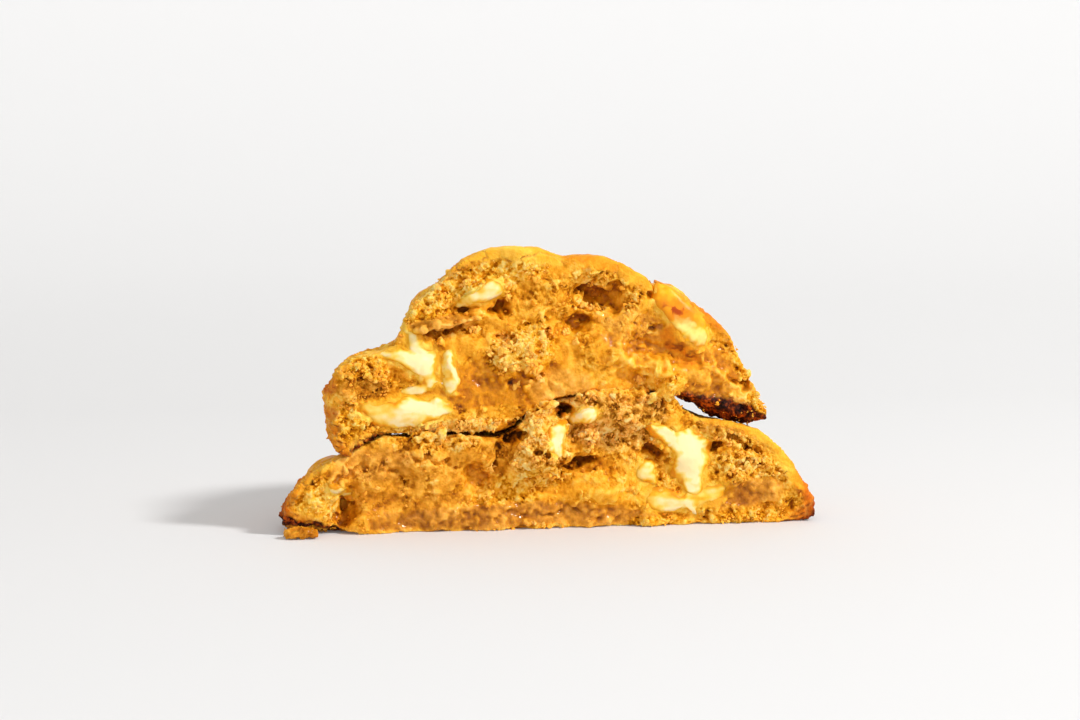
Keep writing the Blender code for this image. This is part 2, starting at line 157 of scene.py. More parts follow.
# Hollows (sunk) and lumps (proud) of the torn face: x, z, half width, half height, tilt, height.
LOWER_RELIEF = {
    "crevice left of the lump": (-11, 15.4, 1.2, 4, -20, -0.8),
    "wedge left of the lump": (-8.6, 20.2, 2.4, 2.2, 20, -4),
    "star under the upper half": (3.1, 25.2, 2.1, 1.3, 0, -4),
    "shadowed step": (6, 14, 6.6, 1.3, 6, -2.2),
    "lip over the step": (6, 16, 5.4, 1, 6, 0.9),
    "hollow left of the chocolate": (22.3, 16, 2.6, 1.3, -10, -2.2),
    "hollow right of the chocolate": (35.8, 16.4, 2.4, 1, 5, -2.2),
    "slanting ledge": (-26, 15.6, 7.5, 0.7, -14, -1.3),
    "lower ledge": (-33, 12.4, 5, 0.6, -25, -1),
    "amber hollow": (-15.6, 11.8, 3, 3.4, 20, -1),
    "flake": (-12.4, 12.8, 2.2, 1.6, -40, 1.5),
    "low flake": (-13.5, 6.9, 1.4, 1.6, -50, 1.3),
    "lump on the crag": (8.4, 19.6, 2.4, 1.8, 0, 1.6),
    "bump on the crag": (15, 23.4, 3.6, 2.4, 10, 1.4),
    "cleft in the crag": (12.4, 19, 1, 2.4, 20, -1.6),
    "pocket beside the block": (-43, 4.2, 2.2, 3.6, -20, -2.2),
    "fold above the bead": (-43, 12.6, 5, 0.7, 28, -1.1),
    "ledge above the porous crumb": (42, 17.3, 5, 0.6, -25, -1.3),
    "slit in the porous crumb": (42.5, 13, 2.8, 0.8, 10, -1.5),
    "wet layer": (-6, 3.4, 20, 0.5, 3, -0.6),
    "bottom crust": (24, 0.9, 6.6, 1.2, 3, 1),
    "bottom crust, right": (45, 1, 8, 1.1, 0, 0.8),
}
# Along the half, as pairs of x and a value: how wide the baked rim above the torn face is, then the
# rim at its foot and the burnt part of that, in millimetres, and how gritty and how toasted the
# crust is beside the torn face.
LOWER_BANDS = {
    "crust": (
        (-58, 1.6), (-54, 0.7), (-48, 0.2), (-42, -0.4), (-30, -1.4), (24, -1.6), (29, -0.2), (34, 1.2),
        (46, 1.6), (58, 2.6),
    ),
    "base": ((-58, 4.2), (-54, 2.4), (-50, 1), (-44, -0.4), (-34, -1.5), (46, -1.5), (51, 0.8), (58, 4)),
    "burnt": ((-58, 1.4), (-50, 0.9), (-44, 0.5), (-42, -1), (50, -1), (54, 0.2), (58, 1.6)),
    "grit": ((-58, 1), (-40, 0.6), (-20, 0.3), (30, 0.3), (46, 0.45), (58, 1)),
    "toast": ((-58, 2), (-50, 0.8), (-30, 0.6), (28, 0.5), (46, 0.1), (52, 0.4), (58, 2.4)),
}
# Where the upper half rests on the torn edge and crumbs close the joint: x, from and to.
CONTACTS = ((-29, -23), (-4.5, 0.5), (6, 20))
CONTACT_CRUMBS = 9       # crumbs for each millimetre of joint
FACE_VOXEL = 0.55        # mesh size while the large forms are worked, mm
SKIN_VOXEL = 0.25        # mesh size of the fused skin, mm
SKIN_TRIANGLES = 192000  # in each half's dough
CLUMPS = 800             # crumbs fused onto each torn face
FINE_GRAINS = 2250       # loose grains on each torn face
CLUSTER = 8              # grains in each placed nugget
GRAIN_KINDS = 12         # different crumbs to copy
GRAIN_FINENESS = 2       # subdivisions of each
# The two spans scale the painted shade and highlight that the relief puts into the colour.
NEAR_SPAN = 0.12         # how far fine relief stands out where it counts as fully raised, mm
WIDE_SPAN = 0.5          # and coarse relief
OUTLINE_STEP = 0.0006    # between the points of the torn faces' outlines, metres
OUTLINE_DEPTH = 2        # how far behind the break they are taken, mm


def ease(low, high, value):
    t = np.clip((value - low) / (high - low), 0, 1)
    return t * t * (3 - 2 * t)


def ripple(points, length, seed):
    """Smooth noise between about -1 and 1, with features of this length in millimetres."""
    shift = Vector((seed, 2.3 * seed, 3.1 * seed))
    return np.array([noise.noise(Vector(point) + shift) for point in np.asarray(points) / length])


def warped(points, length, reach, seed):
    """The points moved about by smooth noise, so that shapes laid on them come out uneven."""
    return points + reach * np.stack([ripple(points, length, seed + axis) for axis in range(3)], axis=1)


def chunks(points, length, seed):
    """Split space into angular chunks: a number from -1 to 1 for each, and the distance to its edge."""
    shift = Vector((seed, 2.3 * seed, 3.1 * seed))
    level = []
    edge = []
    for point in np.asarray(points) / length:
        distances, middles = noise.voronoi(Vector(point) + shift)
        level.append(noise.cell(middles[0] * 7.31))
        edge.append(distances[1] - distances[0])
    return np.array(level) * 2 - 1, np.array(edge)


def points_of(piece):
    """A piece's corners in millimetres, measured from the zero of the broken faces."""
    flat = np.empty(len(piece.data.vertices) * 3, np.float32)
    piece.data.vertices.foreach_get("co", flat)
    return flat.reshape(-1, 3).astype(float) / MM - BREAK


def normals_of(piece):
    flat = np.empty(len(piece.data.vertices) * 3, np.float32)
    piece.data.vertex_normals.foreach_get("vector", flat)
    return flat.reshape(-1, 3).astype(float)


def skin_of(piece):
    return points_of(piece), normals_of(piece)


def in_frame(points):
    """These points in metres in the frame, kept inside the object's box and above the table."""
    return np.clip((points + BREAK) * MM, cad_low, cad_high)


def move_points(piece, points):
    piece.data.vertices.foreach_set("co", in_frame(points).astype(np.float32).ravel())
    piece.data.update()


def add_node(bm, node, grow=0):
    """Add a merged copy of a solid of the frame, swollen by this many millimetres."""
    part = bmesh.new()
    part.from_mesh(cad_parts[node].data)
    bmesh.ops.remove_doubles(part, verts=part.verts, dist=0.00001)
    part.normal_update()
    for vert in part.verts:
        vert.co += vert.normal * grow * MM
    mesh = bpy.data.meshes.new(node)
    part.to_mesh(mesh)
    part.free()
    bm.from_mesh(mesh)
    bpy.data.meshes.remove(mesh)


def new_piece(name, bm):
    mesh = bpy.data.meshes.new(name)
    bm.to_mesh(mesh)
    bm.free()
    return add_object(name, mesh)


def apply_modifiers(piece):
    evaluated = piece.evaluated_get(bpy.context.evaluated_depsgraph_get())
    mesh = bpy.data.meshes.new_from_object(evaluated)
    piece.modifiers.clear()
    piece.data = mesh


def fuse(piece, size, smoothing):
    """Fuse overlapping bodies into one closed skin of this mesh size, and smooth it."""
    remesh = piece.modifiers.new("fuse", "REMESH")
    remesh.mode = "VOXEL"
    remesh.voxel_size = size * MM
    soften = piece.modifiers.new("soften", "SMOOTH")
    soften.factor = 0.5
    soften.iterations = smoothing
    apply_modifiers(piece)


def thin_out(piece, triangles):
    """Bring a mesh down to this many triangles, the flattest places first."""
    count = sum(len(face.vertices) - 2 for face in piece.data.polygons)
    if count > triangles:
        decimate = piece.modifiers.new("thin", "DECIMATE")
        decimate.ratio = triangles / count
        apply_modifiers(piece)


def standing(piece, passes):
    """How far each corner stands out from its neighbours, averaged this many times over, in mm."""
    corners, normals = skin_of(piece)
    points = corners
    ends = np.empty(len(piece.data.edges) * 2, np.int32)
    piece.data.edges.foreach_get("vertices", ends)
    first, second = ends.reshape(-1, 2).T
    count = len(points)
    neighbours = np.bincount(first, minlength=count) + np.bincount(second, minlength=count)
    for _ in range(passes):
        total = [
            np.bincount(first, axis[second], count) + np.bincount(second, axis[first], count)
            for axis in points.T
        ]
        points = np.stack(total, axis=1) / neighbours[:, None]
    return np.sum((corners - points) * normals, axis=1)


def tree_of(piece):
    return BVHTree.FromObject(piece, bpy.context.evaluated_depsgraph_get())


def front_of(tree, x, z):
    """How far back the front of a body lies at this x and z, in millimetres, or None beside it."""
    start = Vector((np.array((x, -30, z)) + BREAK) * MM)
    hit = tree.ray_cast(start, Vector((0, 1, 0)))[0]
    if hit is None:
        return None
    return hit.y / MM - BREAK[1]


def spot(points, x, z, half_x, half_z, tilt):
    """1 in the middle of an ellipse on the torn face, 0 on its rim and negative outside."""
    turn = math.radians(tilt)
    along = (points[:, 0] - x) * math.cos(turn) + (points[:, 2] - z) * math.sin(turn)
    across = (points[:, 2] - z) * math.cos(turn) - (points[:, 0] - x) * math.sin(turn)
    return 1 - (along / half_x) ** 2 - (across / half_z) ** 2


def joined_lobes(points, lobes):
    """Overlapping lobes as one soft shape: 1 inside to 0 at the rim, and how proud it stands."""
    shares = np.array([spot(points, *lobe[:5]) for lobe in lobes])
    weights = np.exp(3 * np.maximum(shares, -9))
    total = weights.sum(axis=0)
    proud = np.array([lobe[5] for lobe in lobes]) @ weights / total
    return np.minimum(np.log(total) / 3, 1), proud


class TornHalf:
    """One half's torn face: its outline, and what is painted on it."""

    def __init__(self, node, strokes, chocolate, bands, slit, pull, seed):
        bm = bmesh.new()
        add_node(bm, node)
        tree = BVHTree.FromBMesh(bm)
        bm.free()
        self.strokes = strokes
        self.chocolate = chocolate
        self.bands = bands
        self.slit = slit
        self.pull = pull
        self.seed = seed
        self.top_line = []
        self.base_line = []
        low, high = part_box(node)
        for x in np.arange(low.x + 0.0004, high.x, OUTLINE_STEP):
            start = Vector((x, (BREAK[1] + OUTLINE_DEPTH) * MM, 0.2))
            above = tree.ray_cast(start, Vector((0, 0, -1)))[0]
            start.z = -0.2
            below = tree.ray_cast(start, Vector((0, 0, 1)))[0]
            if above and below:
                self.top_line.append((above.x / MM - BREAK[0], above.z / MM))
                self.base_line.append((below.x / MM - BREAK[0], below.z / MM))

    def along(self, band, points):
        """What one of the bands says at each point."""
        return np.interp(points[:, 0], *np.array(self.bands[band]).T)

    def distance(self, points, line):
        """Distance in the plane of the torn face to a line of points."""
        nearest = np.full(len(points), 1e9)
        for x, z in line:
            nearest = np.minimum(nearest, (points[:, 0] - x) ** 2 + (points[:, 2] - z) ** 2)
        return np.sqrt(nearest)

    def crust(self, points):
        """1 on the baked skin and 0 on the torn face, with an uneven border."""
        uneven = 0.9 * ripple(points, 2.2, self.seed + 5)
        top = self.distance(points, self.top_line) - self.along("crust", points)
        base = self.distance(points, self.base_line) - self.along("base", points)
        rim = 1 - ease(-0.6, 0.9, np.minimum(top, base) + uneven)
        behind = ease(5, 8, points[:, 1] + 2 * uneven)
        return np.maximum(rim, behind)

    def burnt(self, points):
        """1 where the foot of the torn face and the underside behind it are burnt dark."""
        above = self.distance(points, self.base_line) + 0.9 * ripple(points, 1.8, self.seed + 3)
        return ease(0.4, -0.4, above - self.along("burnt", points))

    def paint(self, points):
        """Grain, wetness, paleness and tan of the dough at each point, from the strokes."""
        fields = np.tile((0.5, 0.35, 0, 0.15), (len(points), 1))
        uneven = 0.45 * ripple(points, 2.4, self.seed + 9)
        for x, z, half_x, half_z, tilt, *look in self.strokes.values():
            weight = ease(-0.3, 0.4, spot(points, x, z, half_x, half_z, tilt) + uneven)
            fields += (np.array(look) - fields) * weight[:, None]
        return fields.T

    def melted(self, points):
        """1 in the middle of the chocolate, 0 at its rim and negative away from it."""
        most = np.max([joined_lobes(points, lobes)[0] for lobes in self.chocolate.values()], axis=0)
        return np.where(points[:, 1] < 6, most, -9)


def grain_shapes(seed):
    """A few angular crumbs to copy: the corners of each kind, and the faces that all share."""
    bm = bmesh.new()
    bmesh.ops.create_icosphere(bm, subdivisions=GRAIN_FINENESS, radius=1)
    ball = np.array([vert.co for vert in bm.verts])
    faces = np.array([[vert.index for vert in face.verts] for face in bm.faces])
    bm.free()
    rng = np.random.default_rng(int(seed * 10))
    shapes = []
    for kind in range(GRAIN_KINDS):
        cuts = rng.normal(size=(10, 3))
        cuts /= np.linalg.norm(cuts, axis=1)[:, None]
        reach = rng.uniform(0.5, 1, 10) / np.maximum(ball @ cuts.T, 0.05)
        size = np.minimum(reach.min(axis=1), 1.4) * (1 + 0.2 * ripple(ball, 0.6, seed + kind))
        shapes.append(ball * size[:, None])
    return np.array(shapes), faces


def random_turns(rng, count):
    """One random rotation matrix for each of count things."""
    turns = rng.normal(size=(count, 4))
    w, x, y, z = (turns / np.linalg.norm(turns, axis=1)[:, None]).T
    rows = (
        (1 - 2 * (y * y + z * z), 2 * (x * y - z * w), 2 * (x * z + y * w)),
        (2 * (x * y + z * w), 1 - 2 * (x * x + z * z), 2 * (y * z - x * w)),
        (2 * (x * z - y * w), 2 * (y * z + x * w), 1 - 2 * (x * x + y * y)),
    )
    return np.transpose(np.array(rows), (2, 0, 1))


def grains(name, rng, centres, radii, shapes, faces):
    """Copy the crumbs to many places, each turned and squashed its own way, as one mesh."""
    count = len(centres)
    corners = shapes[rng.integers(len(shapes), size=count)]
    corners = corners * rng.uniform(0.45, 1.4, (count, 1, 3)) * radii[:, None, None]
    corners = np.einsum("nvi,nij->nvj", corners, random_turns(rng, count)) + centres[:, None, :]
    step = np.arange(count) * shapes.shape[1]
    mesh = bpy.data.meshes.new(name)
    placed = in_frame(corners.reshape(-1, 3)).tolist()
    mesh.from_pydata(placed, [], (faces[None] + step[:, None, None]).reshape(-1, 3).tolist())
    return mesh


def scatter(rng, points, normals, density, count, sizes, sink):
    """Choose places over a mesh where density says, and a radius for each, mostly small."""
    picked = rng.choice(len(points), size=count, p=density / density.sum())
    radii = sizes[0] + (sizes[1] - sizes[0]) * rng.random(count) ** 3
    offset = radii * (rng.random(count) * 0.8 - sink)
    places = points[picked] + normals[picked] * offset[:, None] + rng.normal(0, 0.15, (count, 3))
    return places, radii


def joint_crumbs(half, rng):
    """Crumbs along the torn edge where the other half rests on it."""
    line = np.array(half.top_line)
    rows = []
    for start, end in CONTACTS:
        count = int((end - start) * CONTACT_CRUMBS)
        x = rng.uniform(start, end, count)
        z = np.interp(x, *line.T) + rng.uniform(-1.2, 0.9, count)
        rows.append(np.stack([x, rng.uniform(-0.9, 1.2, count), z, rng.uniform(0.4, 1.3, count)], axis=1))
    return np.vstack(rows)


def split(piece, x, z, width, height, length):
    """Cut a narrow slit in from the front, along the view, at this x and z."""
    bm = bmesh.new()
    bmesh.ops.create_cube(bm, size=1)
    bmesh.ops.subdivide_edges(bm, edges=bm.edges[:], cuts=6, use_grid_fill=True)
    slant = Vector(CAMERA_TARGET) - Vector(CAMERA_PLACE)
    for vert in bm.verts:
        along = (vert.co.y + 0.4) * length
        vert.co.x = x + vert.co.x * width * (vert.co.z + 0.7) + along * slant.x / slant.y
        vert.co.x += 0.25 * noise.noise(Vector((0, along * 0.3, vert.co.z * 3)))
        vert.co.z = z + vert.co.z * height + along * slant.z / slant.y
        vert.co.y = along
        vert.co = (vert.co + Vector(BREAK)) * MM
    cutter = new_piece("slit", bm)
    cut = piece.modifiers.new("cut", "BOOLEAN")
    cut.operation = "DIFFERENCE"
    cut.solver = "MANIFOLD"
    cut.object = cutter
    apply_modifiers(piece)
    bpy.data.objects.remove(cutter)


def dough(name, nodes, half, relief, extra_crumbs):
    """Fuse a half's dough: large forms, then crumbs, then the fine skin."""
    seed = half.seed
    rng = np.random.default_rng(int(seed * 10))
    bm = bmesh.new()
    add_node(bm, nodes[0])
    for node in nodes[1:]:
        add_node(bm, node, grow=0.4)
    piece = new_piece(name, bm)
    fuse(piece, FACE_VOXEL, 6)
    half.envelope = tree_of(piece)
    points, normals = skin_of(piece)
    torn = (1 - half.crust(points)) * ease(0.1, 0.5, -normals[:, 1])
    grain, wet = half.paint(points)[:2]
    calm = 1 - ease(-0.35, 0.25, half.melted(points))

    # The hollows and lumps, the crags, and the ridges that the moist dough was pulled into.
    bent = warped(warped(points, 2.4, 1.6, seed + 11), 1, 0.8, seed + 13)
    for x, z, half_x, half_z, tilt, height in relief.values():
        lump = ease(-0.1, 0.6, spot(bent, x, z, half_x, half_z, tilt))
        points[:, 1] -= height * lump * torn * calm
    crags = 1.4 * ripple(points, 6, seed) + 0.8 * ripple(points, 2.6, seed + 1)
    turn = Matrix.Rotation(math.radians(half.pull), 3, "Y")
    pulled = np.abs(ripple((bent @ np.array(turn)) * (0.3, 1, 1), 2.6, seed + 2)) - 0.2
    height = torn * calm * (crags * (0.55 + 0.35 * grain) + 1.9 * pulled * wet * (1 - grain))
    waves = 0.25 * ripple(points, 7, seed + 4) + 0.1 * ripple(points, 2, seed + 5)
    height += (1 - torn) * waves
    points += normals * height[:, None]
    move_points(piece, points)

    # Crumbs that stick out of the dry parts.
    normals = normals_of(piece)
    patchy = ease(-0.1, 0.35, ripple(points, 3, seed + 7))
    density = torn * calm * (0.01 + ease(0.55, 1, grain) * patchy)
    centres, radii = scatter(rng, points, normals, density, CLUMPS, (0.3, 1), 0.8)
    centres = np.vstack([centres, extra_crumbs[:, :3]])
    radii = np.append(radii, extra_crumbs[:, 3])
    joined = bmesh.new()
    joined.from_mesh(piece.data)
    joined.from_mesh(grains("clumps", rng, centres, radii, *grain_shapes(seed)))
    joined.to_mesh(piece.data)
    joined.free()
    fuse(piece, SKIN_VOXEL, 1)
    if half.slit:
        split(piece, *half.slit)
    roughen(piece, half)
    thin_out(piece, SKIN_TRIANGLES)
    piece.data.shade_smooth()
    return piece


def roughen(piece, half):
    """Fine relief: crumb and pulled dough on the torn face, cracks, grit and char on the crust."""
    seed = half.seed
    points, normals = skin_of(piece)
    torn = (1 - half.crust(points)) * ease(-0.4, 0.2, -normals[:, 1])
    face = torn > 0
    place = points[face]
    grain = half.paint(place)[0]
    calm = 1 - ease(-0.35, 0.25, half.melted(place))
    crumbly = (0.15 + 0.85 * calm) * ease(0.1, 0.9, grain + 0.45 * ripple(place, 3.2, seed + 7))
    bent = warped(place, 0.9, 0.5, seed + 14)
    coarse, coarse_edge = chunks(bent, 1.7, seed)
    small, small_edge = chunks(bent, 0.7, seed + 1)
    rough = 0.22 * coarse * ease(0, 0.4, coarse_edge)
    rough += 0.15 * small * ease(0, 0.3, small_edge)
    rough -= 0.08 * ease(0.25, 0, coarse_edge)
    smooth = 0.3 * ripple(place, 1.5, seed + 9) + 0.14 * ripple(place, 0.7, seed + 10)
    cracked, crack_edge = chunks(warped(points, 3, 1.4, seed + 17), 9, seed + 2)
    cracks = ease(0.11, 0, crack_edge) * ease(0, 0.5, cracked)
    grit = half.along("grit", points) * ease(24, 8, points[:, 1])
    pits = 0.8 * np.abs(ripple(points, 1.7, seed + 16)) + 0.5 * np.abs(ripple(points, 0.8, seed + 18))
    rise = 0.14 * ripple(points, 1.4, seed + 9) + 0.3 * ripple(points, 3.4, seed + 15) - 0.45 * cracks
    rise += grit * pits
    rise *= 1 - torn
    charred = half.burnt(points) > 0.05
    char = points[charred]
    rise[charred] += 0.7 * ripple(char, 1.8, seed + 19) + 0.3 * ripple(char, 0.7, seed + 20)
    rise[face] += torn[face] * (crumbly * rough + calm * smooth)
    move_points(piece, points + normals * rise[:, None])
    keep(piece, "crack", cracks * (1 - torn))
    for field, values in (
        ("grain", crumbly), ("chunk", torn[face] * crumbly * (0.6 * coarse + 0.4 * small)),
    ):
        everywhere = np.zeros(len(points))
        everywhere[face] = values
        keep(piece, field, everywhere)
    finish_dough(piece, half)


def loose_grains(name, host, half, nuggets, seed):
    """Small crumbs that lie loose on the torn face, and placed nuggets of several: x, z and radius."""
    points, normals = skin_of(host)
    torn = (1 - half.crust(points)) * ease(-0.2, 0.4, -normals[:, 1])
    grain = half.paint(points)[0]
    rng = np.random.default_rng(int(seed * 10))
    patchy = ease(-0.1, 0.4, ripple(points, 2.6, seed + 7))
    density = torn * (0.02 + grain ** 2 * patchy) * (half.melted(points) < 0.1)
    centres, radii = scatter(rng, points, normals, density, FINE_GRAINS, (0.12, 0.45), 0.35)
    tree = tree_of(host)
    for x, z, radius in nuggets:
        middle = np.array((x, (front_of(tree, x, z) or 0) - 0.1 * radius, z))
        around = rng.normal(0, 0.4 * radius, (CLUSTER, 3)) * (1, 0.6, 1)
        centres = np.vstack([centres, middle + around])
        radii = np.append(radii, radius * rng.uniform(0.3, 0.65, CLUSTER))
    piece = add_object(name, grains(name, rng, centres, radii, *grain_shapes(seed)))
    # The grains take the paleness of the strokes under them, painted shade included, plus a spread of
    # their own.
    pale, tan = half.paint(centres)[2:]
    pale += rng.normal(0.2, 0.3, len(centres))
    pale[FINE_GRAINS:] = rng.normal(0.9, 0.15, len(pale) - FINE_GRAINS)
    each = len(piece.data.vertices) // len(centres)
    keep(piece, "pale", np.repeat(pale, each))
    keep(piece, "tan", np.repeat(tan, each))
    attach(piece, "root")
    return piece


def keep(piece, name, values):
    """Store one number for each corner of a piece, for its material."""
    attribute = piece.data.attributes.new(name, "FLOAT", "POINT")
    attribute.data.foreach_set("value", np.asarray(values, np.float32))


def finish_dough(piece, half):
    """Store what the dough's material reads: crust, relief, wetness, paleness and browning."""
    points, normals = skin_of(piece)
    depth = np.zeros(len(points))
    for i in np.flatnonzero(points[:, 1] < 8):
        place = Vector((points[i] + BREAK) * MM)
        nearest, outward, _, _ = half.envelope.find_nearest(place)
        depth[i] = (place - nearest).dot(outward) / MM
    crust = half.crust(points)
    wet, pale, tan = half.paint(points)[1:]
    under = ease(0.35, 0.75, -normals[:, 2]) * np.maximum(crust, ease(1.5, 3, points[:, 1]))
    toast = half.along("toast", points) * ease(14, 5, points[:, 1])
    browned = np.maximum(ease(14, 3, points[:, 2] - points[:, 2].min()), toast)
    fields = {
        "crust": crust,
        # Painted shade and highlight: near, wide and depth are turned into colour, darker in dips and
        # hollows and lighter on raised crumb.
        "near": np.clip(standing(piece, 5) / NEAR_SPAN, -1, 1),
        "wide": np.clip(standing(piece, 40) / WIDE_SPAN, -1, 1),
        "depth": np.interp(depth, (-4.5, -2.2, -1, 0, 1.5), (-1.2, -0.8, -0.2, 0, 0.3)),
        "wet": wet * (1 - crust),
        "pale": pale,
        "tan": tan,
        "under": under,
        "burnt": half.burnt(points),
        "butter": ease(-1.1, -0.1, half.melted(points)) * (1 - crust),
        "edge": browned + 0.7 * ease(6, 22, points[:, 1]),
    }
    for field, values in fields.items():
        keep(piece, field, values)


class Value:
    """A number that varies over a surface. Arithmetic on it adds Math nodes to its material."""

    def __init__(self, finish, socket):
        self.finish = finish
        self.socket = socket

    def maths(self, operation, first, second):
        return self.finish.node("ShaderNodeMath", {"operation": operation}, {0: first, 1: second})

    def __add__(self, other):
        return self.maths("ADD", self, other)

    def __radd__(self, other):
        return self.maths("ADD", other, self)

    def __sub__(self, other):
        return self.maths("SUBTRACT", self, other)

    def __rsub__(self, other):
        return self.maths("SUBTRACT", other, self)

    def __mul__(self, other):
        return self.maths("MULTIPLY", self, other)

    def __rmul__(self, other):
        return self.maths("MULTIPLY", other, self)

    def ease(self, low, high):
        """0 below low and 1 above high, with a soft step between."""
        settings = {"interpolation_type": "SMOOTHSTEP"}
        inputs = {"Value": self, "From Min": low, "From Max": high, "To Min": 0, "To Max": 1}
        return self.finish.node("ShaderNodeMapRange", settings, inputs)


class Finish:
    """A material: its nodes read the piece's own coordinates and attributes."""

    def __init__(self, name, **constants):
        self.material = bpy.data.materials.new(name)
        self.material.use_nodes = True
        self.tree = self.material.node_tree
        self.shader = self.tree.nodes["Principled BSDF"]
        for socket, value in constants.items():
            self.shader.inputs[socket.replace("_", " ")].default_value = value
        self.place = self.node("ShaderNodeTexCoord", {}, {}, "Object")

    def node(self, kind, settings, inputs, output=0):
        """Add a node, make its settings, then fill or link its sockets."""
        made = self.tree.nodes.new(kind)
        for name, value in settings.items():
            if name == "stops":
                self.set_stops(made.color_ramp, value)
            else:
                setattr(made, name, value)
        for socket, value in inputs.items():
            self.feed(made.inputs[socket], value)
        return Value(self, made.outputs[output])

    def feed(self, socket, value):
        if isinstance(value, Value):
            self.tree.links.new(value.socket, socket)
        else:
            socket.default_value = value

    def set_stops(self, ramp, stops):
        while len(ramp.elements) < len(stops):
            ramp.elements.new(0.5)
        for element, (position, colour) in zip(ramp.elements, stops):
            element.position = position
            element.color = colour

    def stored(self, name):
        return self.node("ShaderNodeAttribute", {"attribute_name": name}, {}, "Fac")

    def grain(self, length, detail=2, rough=0.5):
        """Noise from 0 to 1 with features of this length in millimetres."""
        inputs = {"Vector": self.place, "Scale": 1 / (length * MM)}
        inputs.update({"Detail": detail, "Roughness": rough})
        return self.node("ShaderNodeTexNoise", {}, inputs, "Fac")

    def cells(self, length):
        inputs = {"Vector": self.place, "Scale": 1 / (length * MM)}
        return self.node("ShaderNodeTexVoronoi", {"feature": "F1"}, inputs, "Distance")

    def ramp(self, factor, *stops):
        """Colours over a number; each stop is its place, then red, green and blue from 0 to 255."""
        stops = [(place, colour(*shade)) for place, *shade in stops]
        return self.node("ShaderNodeValToRGB", {"stops": stops}, {"Fac": factor}, "Color")

    def mix(self, factor, first, second):
        """Blend two colours."""
        inputs = {0: factor, 6: first, 7: second}
        return self.node("ShaderNodeMix", {"data_type": "RGBA"}, inputs, 2)

    def bump(self, height, depth):
        """Fine relief; depth in millimetres."""
        made = self.node("ShaderNodeBump", {}, {"Height": height, "Distance": depth * MM}, "Normal")
        self.feed(self.shader.inputs["Normal"], made)

    def wear(self, piece):
        piece.data.materials.clear()
        piece.data.materials.append(self.material)


def colour(red, green, blue):
    """A colour given as it looks on a screen, 0 to 255, as the linear values that shaders take."""
    linear = []
    for part in (red, green, blue):
        share = part / 255
        linear.append(share / 12.92 if share <= 0.04045 else ((share + 0.055) / 1.055) ** 2.4)
    return (*linear, 1)


def dough_finish():
    """Baked dough: pale dry crumb over amber moist dough, in a golden crust browned below."""
    finish = Finish(
        "baked_dough", Subsurface_Weight=0.4, Subsurface_Scale=0.0012,
        Specular_IOR_Level=0.08, Coat_Roughness=0.1,
    )
    finish.shader.inputs["Subsurface Radius"].default_value = (1, 0.75, 0.5)
    speckle = finish.grain(0.7, 3, 0.6) - 0.5
    patches = finish.grain(1.9, 2, 0.6) - 0.5
    blotch = finish.grain(5.5, 2) - 0.5
    # Painted shade and highlight: the stored relief darkens the colour in dips and hollows and lightens
    # it on raised crumb, a little more in wet dough.
    wide = finish.stored("wide") * (0.1 + finish.stored("wet") * 0.06)
    relief = finish.stored("near") * 0.07 + wide + finish.stored("depth") * 0.16
    grain = finish.stored("grain")
    fine = speckle * (0.2 + grain * 0.85) + patches * (0.25 + grain * 0.45)
    uneven = fine + blotch * 0.6 + finish.stored("chunk") * 0.18
    tone = finish.stored("pale") * 0.26 + relief + uneven + grain * 0.12 + 0.575
    crumb = finish.ramp(
        tone, (0, 64, 24, 0), (0.12, 140, 68, 0), (0.26, 188, 106, 0), (0.45, 222, 142, 10),
        (0.62, 246, 172, 40), (0.8, 255, 196, 74), (1, 255, 214, 116),
    )
    tan = finish.ramp(
        tone, (0, 112, 58, 4), (0.25, 168, 102, 12), (0.45, 206, 138, 38), (0.62, 236, 168, 68),
        (0.8, 254, 194, 98), (1, 255, 215, 134),
    )
    surface = finish.mix(finish.stored("tan"), crumb, tan)
    butter = finish.ramp(tone, (0.2, 216, 138, 16), (0.5, 242, 176, 42), (0.8, 255, 210, 92))
    surface = finish.mix(finish.stored("butter") * 0.85, surface, butter)
    stain = finish.grain(14, 2) - 0.5
    toast = blotch * 0.8 + stain * 0.9 + finish.stored("edge") * 0.22 + speckle * 0.25
    crust = finish.ramp(
        toast + patches * 0.3 + 0.42, (0.1, 255, 206, 88), (0.4, 248, 182, 52),
        (0.62, 236, 150, 28), (0.85, 208, 108, 20), (1, 160, 70, 16),
    )
    crust = finish.mix(finish.stored("crack") * 0.4, crust, colour(250, 196, 92))
    surface = finish.mix(finish.stored("crust"), surface, crust)
    base = finish.ramp(blotch + speckle * 0.6 + 0.5, (0.2, 92, 42, 16), (0.8, 186, 100, 30))
    surface = finish.mix(finish.stored("under"), surface, base)
    scorch = finish.ramp(
        patches + speckle * 0.8 + 0.5, (0.3, 26, 6, 3), (0.5, 84, 28, 8), (0.7, 196, 86, 12),
    )
    surface = finish.mix(finish.stored("burnt"), surface, scorch)
    finish.feed(finish.shader.inputs["Base Color"], surface)
    finish.feed(finish.shader.inputs["Roughness"], 0.66 - finish.stored("wet") * 0.25 + speckle * 0.2)
    finish.feed(finish.shader.inputs["Coat Weight"], finish.stored("wet").ease(0.3, 0.9) * 0.3)
    height = finish.grain(0.4, 3, 0.65) + finish.cells(0.55) * 0.7
    finish.bump(height * (0.4 + grain * 0.6), 0.34)
    return finish


lower = TornHalf(
    "lower_half", LOWER_STROKES, LOWER_CHOCOLATE, LOWER_BANDS, slit=None, pull=10, seed=4.1,
)
contact_crumbs = joint_crumbs(lower, np.random.default_rng(17))
lower_dough = dough("dough_lower", LOWER_NODES, lower, LOWER_RELIEF, contact_crumbs)
baked_dough = dough_finish()
baked_dough.wear(lower_dough)
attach(lower_dough, "root")
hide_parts("lower_half")


